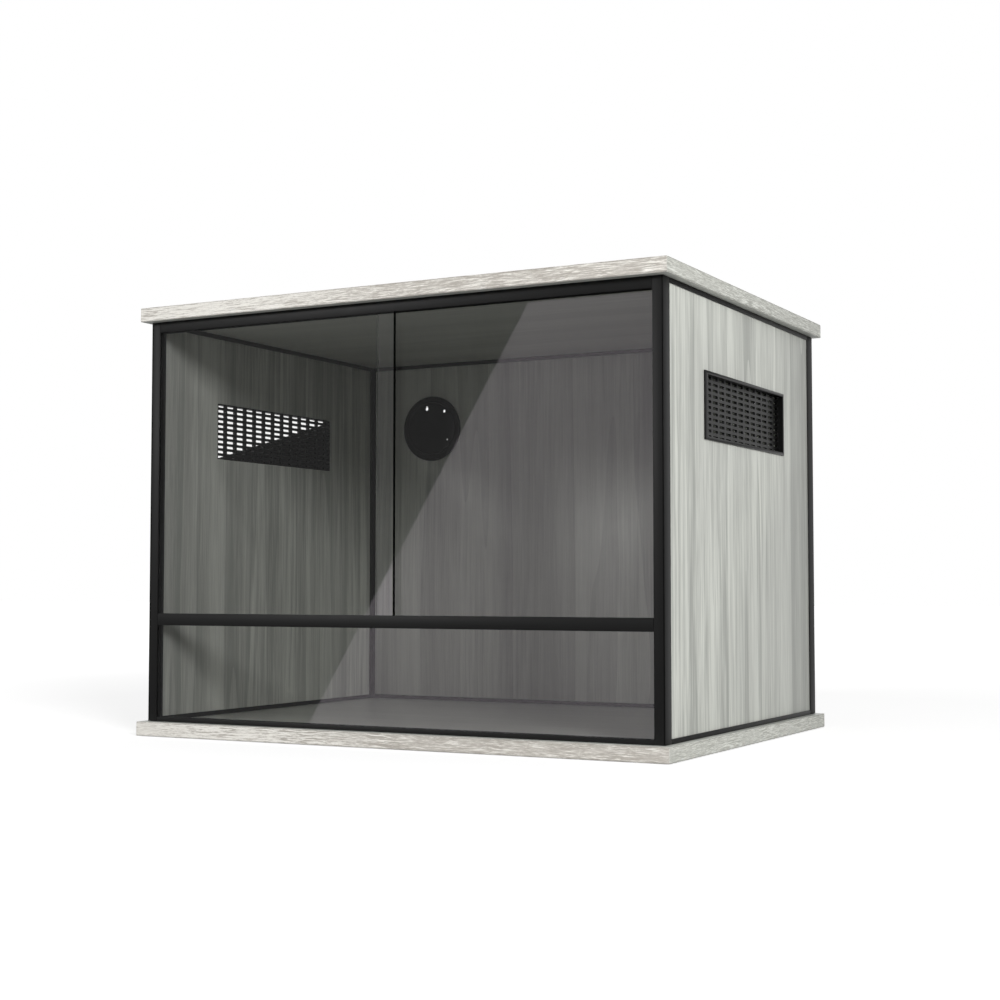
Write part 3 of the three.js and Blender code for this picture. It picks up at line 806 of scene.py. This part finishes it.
class TERRARIUM_OT_panels(bpy.types.Operator):
    """Side panels with their vent cut-outs, and the back panel with its round hole"""

    bl_idname = "terrarium.panels"
    bl_label = "Panels"

    hole_radius = 35 * MM

    def execute(self, context):
        sizes = context.scene.cabinet_sizes
        for word in ("left", "right"):
            node = f"{word}_side_panel"
            lo, hi = box_of(node)
            piece = start_block(node + "_laminate", lo, hi)
            cut_window(*vent_cut_out(word))
            finish_shape(piece, node, sizes.panel_edge, "panel_laminate", "panel_grain")
        lo, hi = box_of("back_panel")
        port_lo, port_hi = box_of("cable_port_flange")
        port = (port_lo + port_hi) / 2
        piece = start_block("back_panel_laminate", lo, hi)
        leave_edit()
        middle = (port.x, (lo.y + hi.y) / 2, port.z)
        hole = start_round("port_hole", middle, self.hole_radius, 3 * (hi.y - lo.y))
        boolean_cut(piece, hole)
        soften(piece, sizes.panel_edge)
        finish_piece(piece, "back_panel", ["back_grain"])
        return {"FINISHED"}


# ---- vents


class TERRARIUM_OT_vents(bpy.types.Operator):
    """Moulded vents: a flange, a sleeve and a plate of rounded slots set back in it"""

    bl_idname = "terrarium.vents"
    bl_label = "Vents"

    columns = 13
    rows = 11
    pitch = 18.1 * MM
    bar = 4.3 * MM
    rib = 2.9 * MM
    wall = 1 * MM
    flange_thickness = 1.2 * MM
    plate_thickness = 2.5 * MM

    def execute(self, context):
        sizes = context.scene.cabinet_sizes
        for side, word in ((-1, "left"), (1, "right")):
            node = f"{word}_vent_grille"
            lo, hi = box_of(node)
            about = node, side, lo, hi, vent_cut_out(word), sizes
            piece = join(node + "_moulding", self.surround(*about), self.plate(*about))
            finish_piece(piece, node, ["moulded_black"])
        return {"FINISHED"}

    def surround(self, node, side, lo, hi, cut_out, sizes):
        outer = max(abs(lo.x), abs(hi.x))
        inner = min(abs(lo.x), abs(hi.x))
        near, far = sorted((side * outer, side * (outer - self.flange_thickness)))
        piece = start_block(node + "_surround", (near, lo.y, lo.z), (far, hi.y, hi.z))
        front, rear, bottom, top = cut_out
        bore = CLEARANCE + self.wall
        score(Y, front + CLEARANCE, rear - CLEARANCE)
        score(Z, bottom + CLEARANCE, top - CLEARANCE)
        cut_window(front + bore, rear - bore, bottom + bore, top - bore)
        select_faces(
            lambda centre, normal: looks(normal, X, -side)
            and front + CLEARANCE < centre.y < rear - CLEARANCE
            and bottom + CLEARANCE < centre.z < top - CLEARANCE
        )
        push(x=-side * (outer - self.flange_thickness - inner))
        leave_edit()
        soften(piece, sizes.plastic_edge)
        return piece

    def plate(self, node, side, lo, hi, cut_out, sizes):
        inner = min(abs(lo.x), abs(hi.x))
        edge = CLEARANCE + self.wall
        y0, y1 = cut_out[0] + edge, cut_out[1] - edge
        z0, z1 = cut_out[2] + edge, cut_out[3] - edge
        rim = self.wall / 2
        near, far = sorted((side * inner, side * (inner + self.plate_thickness)))
        corners = (near, y0 - rim, z0 - rim), (far, y1 + rim, z1 + rim)
        piece = start_block(node + "_plate", *corners)
        middle = (lo.y + hi.y) / 2
        pitch_z = (z1 - z0 + self.rib) / self.rows
        bars = [middle + (i - self.columns / 2) * self.pitch for i in range(1, self.columns)]
        starts = [y0] + [bar + self.bar / 2 for bar in bars]
        ends = [bar - self.bar / 2 for bar in bars] + [y1]
        slots_y = list(zip(starts, ends))
        lows = [z0 + i * pitch_z for i in range(self.rows + 1)]
        slots_z = [(low, above - self.rib) for low, above in zip(lows, lows[1:])]
        for axis, slots in ((Y, slots_y), (Z, slots_z)):
            for start, end in slots:
                score(axis, start, end)

        def within(value, slots):
            return any(start < value < end for start, end in slots)

        select_faces(
            lambda centre, normal: abs(normal.x) > 0.99
            and within(centre.y, slots_y)
            and within(centre.z, slots_z)
        )
        bpy.ops.mesh.delete(type="FACE")
        self.wall_in(near, far)

        def ends_slot(value, slots):
            return any(abs(value - end) < SLIVER for slot in slots for end in slot)

        select_edges(
            lambda a, b: abs(a.x - b.x) > 0.9 * self.plate_thickness
            and ends_slot(a.y, slots_y)
            and ends_slot(a.z, slots_z)
        )
        bpy.ops.mesh.bevel(offset=sizes.slot_corner, segments=3, affect="EDGES")
        leave_edit()
        smooth(piece, 40)
        return piece

    def wall_in(self, near, far):
        """Joins the slot outlines on the two faces with walls."""
        select_elements(
            "EDGE", lambda edge: edge.is_boundary and abs(edge.verts[0].co.x - near) < SLIVER
        )
        bpy.ops.mesh.extrude_edges_move(TRANSFORM_OT_translate={"value": (far - near, 0, 0)})
        bpy.ops.mesh.select_all(action="SELECT")
        bpy.ops.mesh.remove_doubles(threshold=SLIVER)


# ---- cable port


class TERRARIUM_OT_cable_port(bpy.types.Operator):
    """Round cable port: a flanged sleeve, and a turning cap with small openings"""

    bl_idname = "terrarium.cable_port"
    bl_label = "Cable port"

    # The holes' places beside the cap's centre, and their radii.
    holes = (
        (-7.3 * MM, 25.5 * MM, 2.3 * MM),
        (18.2 * MM, 21.5 * MM, 2.0 * MM),
        (22.5 * MM, -14.6 * MM, 1.0 * MM),
    )
    slot_width = 2.4 * MM
    slot_length = 3.9 * MM
    slot_round = 0.9 * MM

    def execute(self, context):
        sizes = context.scene.cabinet_sizes
        lo, hi = box_of("cable_port_flange")
        cap_lo, cap_hi = box_of("cable_port_cap")
        centre = (lo + hi) / 2
        panel_front = box_of("back_panel")[0].y
        flange_back = panel_front - CLEARANCE
        radius = (hi.x - lo.x) / 2
        seat = (cap_hi.x - cap_lo.x) / 2 + CLEARANCE
        self.flange(sizes, lo, hi, centre, flange_back, radius, seat)
        self.cap(sizes, cap_lo, cap_hi, centre)
        return {"FINISHED"}

    def inset_disc(self, y, sign, width):
        """Insets the flat round face that looks along Y at this place."""
        select_faces(lambda c, n: looks(n, Y, sign) and abs(c.y - y) < SLIVER and self.is_disc(c))
        bpy.ops.mesh.inset(thickness=width)

    def is_disc(self, centre):
        return (Vector((centre.x, 0, centre.z)) - self.axis).length < 1 * MM

    def flange(self, sizes, lo, hi, centre, back, radius, seat):
        self.axis = Vector((centre.x, 0, centre.z))
        front = lo.y
        ledge = 1.9 * MM
        sleeve = 34.7 * MM
        ledge_step = 0.1 * MM
        wall = 1.5 * MM
        ledge_back = back + 1.5 * MM
        thickness = back - front
        middle = (centre.x, (front + back) / 2, centre.z)
        piece = start_round("cable_port_flange_moulding", middle, radius, thickness)
        self.inset_disc(front, -1, radius - seat)
        push(y=thickness)
        self.inset_disc(back, -1, ledge)
        push(y=ledge_step)
        bpy.ops.mesh.delete(type="FACE")
        self.inset_disc(back, 1, radius - sleeve)
        push(y=hi.y - back)
        bpy.ops.mesh.inset(thickness=wall)
        push(y=ledge_back - hi.y)
        bpy.ops.mesh.inset(thickness=sleeve - wall - (seat - ledge))
        bpy.ops.mesh.delete(type="FACE")
        select_elements("EDGE", lambda edge: edge.is_boundary)
        bpy.ops.mesh.bridge_edge_loops()
        edge = sizes.plastic_edge
        finish_shape(piece, "cable_port_flange", edge, "black_plastic", "moulded_black", limit=50)

    def cap(self, sizes, lo, hi, centre):
        thickness = hi.y - lo.y
        middle = (centre.x, (lo.y + hi.y) / 2, centre.z)
        piece = start_round("cable_port_cap_moulding", middle, (hi.x - lo.x) / 2, thickness)
        leave_edit(clean=False)
        soften(piece, sizes.plastic_edge, limit=50)
        for x, z, hole in self.holes:
            place = (centre.x + x, middle[Y], centre.z + z)
            boolean_cut(piece, start_round("cable_hole", place, hole, 3 * thickness, sides=24))
        slot_x = centre.x + self.holes[0][0]
        slot_z = centre.z + self.holes[0][1]
        half = self.slot_width / 2
        slot = start_block(
            "cable_slot",
            (slot_x - half, lo.y - thickness, slot_z),
            (slot_x + half, hi.y + thickness, slot_z + self.slot_length),
        )
        upper = slot_z + self.slot_length / 2
        round_corner(
            lambda a, b: abs(a.y - b.y) > thickness and a.z > upper, self.slot_round, segments=4
        )
        boolean_cut(piece, slot)
        smooth(piece)
        finish_piece(piece, "cable_port_cap", ["moulded_black"], body="port_cap")


# ---- glass and strips


class TERRARIUM_OT_glass(bpy.types.Operator):
    """Fixed lower pane and two sliding doors, with polished edges"""

    bl_idname = "terrarium.glass"
    bl_label = "Glass"

    def execute(self, context):
        sizes = context.scene.cabinet_sizes
        bodies = {
            "fixed_front_glass": "cabinet",
            "left_door_glass": "left_door",
            "right_door_glass": "right_door",
        }
        for node, body in bodies.items():
            lo, hi = box_of(node)
            piece = start_block(node + "_pane", lo, hi)
            finishes = ("clear_float_glass", "painted_dark_glass_edge")
            edge = sizes.glass_edge
            finish_shape(piece, node, edge, "clear_glass", *finishes, body=body, segments=1)
            # The edge faces get the near-black finish, painted shade for the dark that light
            # leaves in a glass edge; the right door's left edge stays clear glass.
            paint_faces(
                piece,
                1,
                lambda centre, normal: abs(normal.y) < 0.9
                and not (node == "right_door_glass" and centre.x < lo.x + sizes.glass_edge),
            )
        return {"FINISHED"}


class TERRARIUM_OT_strips(bpy.types.Operator):
    """Slippery strips under the doors and the setting strip under the fixed pane"""

    bl_idname = "terrarium.strips"
    bl_label = "Strips"

    def execute(self, context):
        half_ridge = 0.4 * MM
        for node in ("front_door_glide", "rear_door_glide", "pane_setting_strip"):
            lo, hi = box_of(node)
            piece = start_block(node + "_strip", lo, hi)
            middle = (lo.y + hi.y) / 2
            sink_groove(Y, middle - half_ridge, middle + half_ridge, Z, 1, 0.2 * MM)
            finish_shape(piece, node, 0.06 * MM, "glide_nylon", "glide_black")
        return {"FINISHED"}


# ---- screws


class TERRARIUM_OT_screws(bpy.types.Operator):
    """Wafer-head screws that hold the rails to the boards"""

    bl_idname = "terrarium.screws"
    bl_label = "Screws"

    head = 0.9 * MM
    head_radius = 2.0 * MM
    shank = 12 * MM
    turns = 10
    pitch = 0.85 * MM
    waist = 0.78
    tip = 0.08

    def execute(self, context):
        screw = self.one_screw()
        for rail in ("left", "right", "rear", "front"):
            for level in ("base", "top"):
                for number in (1, 2):
                    node = f"{rail}_{level}_rail_screw_{number}"
                    lo, hi = box_of(node)
                    turned = level == "top"
                    seat = lo.z + self.head if turned else hi.z - self.head
                    move = ((lo.x + hi.x) / 2, (lo.y + hi.y) / 2, seat)
                    piece = copy_moved(screw, node + "_threaded", move, turned)
                    finish_piece(piece, node, ["zinc_plate"])
        bpy.data.objects.remove(screw)
        return {"FINISHED"}

    def one_screw(self):
        """A screw at the origin: the underside of its head at z = 0, its point below."""
        middle = (0, 0, self.head / 2)
        bpy.ops.mesh.primitive_cylinder_add(
            vertices=20, radius=self.head_radius, depth=self.head, location=middle
        )
        screw = name_and_edit("screw")
        for sign, inset in ((1, 0.35 * MM), (-1, 0.75 * MM)):
            select_faces(lambda centre, normal: looks(normal, Z, sign))
            bpy.ops.mesh.inset(thickness=inset)
        for _ in range(self.turns):
            for factor in (self.waist, 1 / self.waist):
                push(z=-self.pitch * 0.5)
                bpy.ops.transform.resize(value=(factor, factor, 1))
        push(z=-(self.shank - self.turns * self.pitch))
        bpy.ops.transform.resize(value=(self.tip, self.tip, 1))
        leave_edit(clean=False)
        smooth(screw, 25)
        floor, above = self.head - 0.5 * MM, self.head + MM
        for x, y in ((1.1 * MM, 0.275 * MM), (0.275 * MM, 1.1 * MM)):
            boolean_cut(screw, start_block("cross", (-x, -y, floor), (x, y, above)))
        return screw


# ---- studio


CAMERA_PLACE = (0.87724, -1.612641, 0.157373)
CAMERA_YAW = radians(28.239)
CAMERA_PITCH = radians(2.998)
LENS = 59.945
LAMP_TARGET = Vector((0, 0, 0.22))
# The card's corners by whether they are on its right and in its upper half.
CARD_CORNERS = {
    (False, False): (-2.415, -0.9),
    (True, False): (1.6, -0.9),
    (True, True): (1.6, 2.6),
    (False, True): (-0.294, 2.6),
}


def link_new(name, data, place):
    thing = bpy.data.objects.new(name, data)
    thing.location = place
    bpy.context.scene.collection.objects.link(thing)
    return thing


def add_camera(scene):
    data = bpy.data.cameras.new("camera")
    data.lens = LENS
    scene.camera = link_new("camera", data, CAMERA_PLACE)
    scene.camera.rotation_euler = (QUARTER_TURN + CAMERA_PITCH, 0, CAMERA_YAW)


def add_lamp(name, place, size, power):
    data = bpy.data.lights.new(name, "AREA")
    data.shape = "DISK"
    data.size = size
    data.energy = power
    aim = LAMP_TARGET - Vector(place)
    lamp = link_new(name, data, place)
    lamp.rotation_euler = aim.to_track_quat("-Z", "Y").to_euler()


def looked_at(w, rays):
    """1 where the eye looks straight at the background, or at it through glass."""
    depth = w.math("ADD", rays["Diffuse Depth"], rays["Glossy Depth"])
    through = w.math("MULTIPLY", rays["Is Transmission Ray"], w.is_none(depth))
    return w.math("ADD", rays["Is Camera Ray"], through, clamp=True)


def add_floor():
    """Pale floor that looks white, and darkens where the cabinet shades it."""
    bpy.ops.mesh.primitive_plane_add(size=24, location=(0, 0, -0.0005))
    floor = bpy.context.active_object
    floor.name = "studio_floor"
    grey = (0.55, 0.55, 0.55, 1)
    material, shader, w = new_material(
        "studio_floor", Base_Color=grey, Roughness=0.9, Specular_IOR_Level=0.0
    )
    rays = w.add("LightPath").outputs
    far = w.add("VectorMath", operation="LENGTH")
    w.put(far.inputs[0], w.add("TexCoord").outputs["Object"])
    lift = w.remap(far.outputs["Value"], 0.8, 3.0, 0.66, 0.95)
    glow = w.add("Emission")
    w.put(glow.inputs["Strength"], w.math("MULTIPLY", looked_at(w, rays), lift))
    both = w.add("AddShader")
    w.put(both.inputs[0], shader.outputs[0])
    w.put(both.inputs[1], glow.outputs[0])
    mirrored = w.is_some(rays["Glossy Depth"])
    opening = w.math("MULTIPLY", mirrored, rays["Is Transmission Ray"])
    clear = w.add("BsdfTransparent").outputs[0]
    w.surface(blend_shaders(w, opening, both.outputs[0], clear))
    floor.data.materials.append(material)
    floor.visible_glossy = False


def add_world(scene, settings):
    """White backdrop behind the cabinet, a dim studio in front and even light all round."""
    world = bpy.data.worlds.new("studio")
    scene.world = world
    world.use_nodes = True
    w = Wiring(world.node_tree)
    background = w.tree.nodes["Background"]
    background.inputs["Color"].default_value = (1, 1, 1, 1)
    rays = w.add("LightPath").outputs
    seen = looked_at(w, rays)

    split = w.add("SeparateXYZ")
    w.put(split.inputs[0], w.add("TexCoord").outputs["Generated"])
    backdrop = w.remap(split.outputs[1], 0.5, 1.0, settings.front_gloss, 0.9)
    bounced = w.math(
        "MULTIPLY", w.is_none(rays["Diffuse Depth"]), w.is_some(rays["Glossy Depth"])
    )
    glossy, through = rays["Is Glossy Ray"], rays["Is Transmission Ray"]
    mirrored = w.math("MULTIPLY", bounced, w.math("ADD", glossy, through, clamp=True))

    ambient = settings.ambient
    level = w.math("MULTIPLY_ADD", mirrored, w.math("SUBTRACT", backdrop, ambient), ambient)
    level = w.math("MULTIPLY_ADD", seen, w.math("SUBTRACT", 1.0, level), level)
    w.put(background.inputs["Strength"], level)


def add_card(strength):
    """A bright card beside the camera, seen only as the straight-edged sheen on the glass."""
    bpy.ops.mesh.primitive_plane_add(
        size=1, location=(0, -3.0, 0.5), rotation=(QUARTER_TURN, 0, 0)
    )
    card = name_and_edit("studio_card")
    bpy.ops.object.mode_set(mode="OBJECT")
    for vertex in card.data.vertices:
        corner = (vertex.co.x > 0, vertex.co.z > 0.5)
        vertex.co.x, vertex.co.z = CARD_CORNERS[corner]
    material = bpy.data.materials.new("studio_card")
    material.use_nodes = True
    w = Wiring(material.node_tree)
    w.tree.nodes.remove(w.tree.nodes["Principled BSDF"])
    rays = w.add("LightPath").outputs
    first = w.is_none(rays["Diffuse Depth"])
    sharp = w.math("MULTIPLY", rays["Is Singular Ray"], first)
    bounced = w.math("MULTIPLY", w.is_some(rays["Glossy Depth"]), sharp)
    glow = w.add("Emission")
    glow.inputs["Color"].default_value = (1.0, 0.93, 1.0, 1)
    w.put(glow.inputs["Strength"], w.math("MULTIPLY", bounced, strength))
    w.surface(glow.outputs[0])
    card.data.materials.append(material)
    card.visible_camera = False
    card.visible_diffuse = False
    card.visible_shadow = False


class TERRARIUM_OT_studio(bpy.types.Operator):
    """Floor, soft lamps, the card that the glass mirrors, and the camera"""

    bl_idname = "terrarium.studio"
    bl_label = "Studio"

    def execute(self, context):
        settings = context.scene.cabinet_studio
        context.scene.view_settings.view_transform = "Standard"
        add_floor()
        add_world(context.scene, settings)
        add_lamp("key_lamp", (3.48, -3.17, 1.92), 1.35, settings.key_power)
        add_lamp("side_lamp", (-2.78, -3.92, 1.6), 0.78, settings.side_power)
        add_card(settings.card)
        add_camera(context.scene)
        return {"FINISHED"}


# ---- panel and registration

STEPS = (
    TERRARIUM_OT_boards,
    TERRARIUM_OT_posts,
    TERRARIUM_OT_front_rails,
    TERRARIUM_OT_panel_rails,
    TERRARIUM_OT_panels,
    TERRARIUM_OT_vents,
    TERRARIUM_OT_cable_port,
    TERRARIUM_OT_glass,
    TERRARIUM_OT_strips,
    TERRARIUM_OT_screws,
    TERRARIUM_OT_studio,
)


class TERRARIUM_OT_finishes(bpy.types.Operator):
    """Materials of the cabinet"""

    bl_idname = "terrarium.finishes"
    bl_label = "Finishes"

    def execute(self, context):
        build_materials(context)
        return {"FINISHED"}


class TERRARIUM_PT_sidebar(bpy.types.Panel):
    """Lists the cabinet's pieces and settings"""

    bl_idname = "TERRARIUM_PT_sidebar"
    bl_label = "Terrarium cabinet"
    bl_space_type = "VIEW_3D"
    bl_region_type = "UI"
    bl_category = "Terrarium"

    def draw(self, context):
        column = self.layout.column(align=True)
        for step in (TERRARIUM_OT_finishes, *STEPS):
            column.operator(step.bl_idname)
        for settings in SETTINGS:
            group = getattr(context.scene, settings)
            box = self.layout.box()
            for name in group.bl_rna.properties.keys():
                if name not in ("rna_type", "name"):
                    box.prop(group, name)


SETTINGS = {
    "cabinet_sizes": CabinetSizes,
    "cabinet_colours": CabinetColours,
    "cabinet_studio": StudioSettings,
}
CLASSES = (*SETTINGS.values(), TERRARIUM_OT_finishes, *STEPS, TERRARIUM_PT_sidebar)


def register():
    for kind in CLASSES:
        bpy.utils.register_class(kind)
    for name, kind in SETTINGS.items():
        setattr(bpy.types.Scene, name, PointerProperty(type=kind))


def unregister():
    for name in SETTINGS:
        delattr(bpy.types.Scene, name)
    for kind in reversed(CLASSES):
        bpy.utils.unregister_class(kind)


def main():
    register()
    bpy.ops.terrarium.finishes()
    bpy.ops.terrarium.boards()
    bpy.ops.terrarium.posts()
    bpy.ops.terrarium.front_rails()
    bpy.ops.terrarium.panel_rails()
    bpy.ops.terrarium.panels()
    bpy.ops.terrarium.vents()
    bpy.ops.terrarium.cable_port()
    bpy.ops.terrarium.glass()
    bpy.ops.terrarium.strips()
    bpy.ops.terrarium.screws()
    bpy.ops.terrarium.studio()


if __name__ == "__main__":
    main()
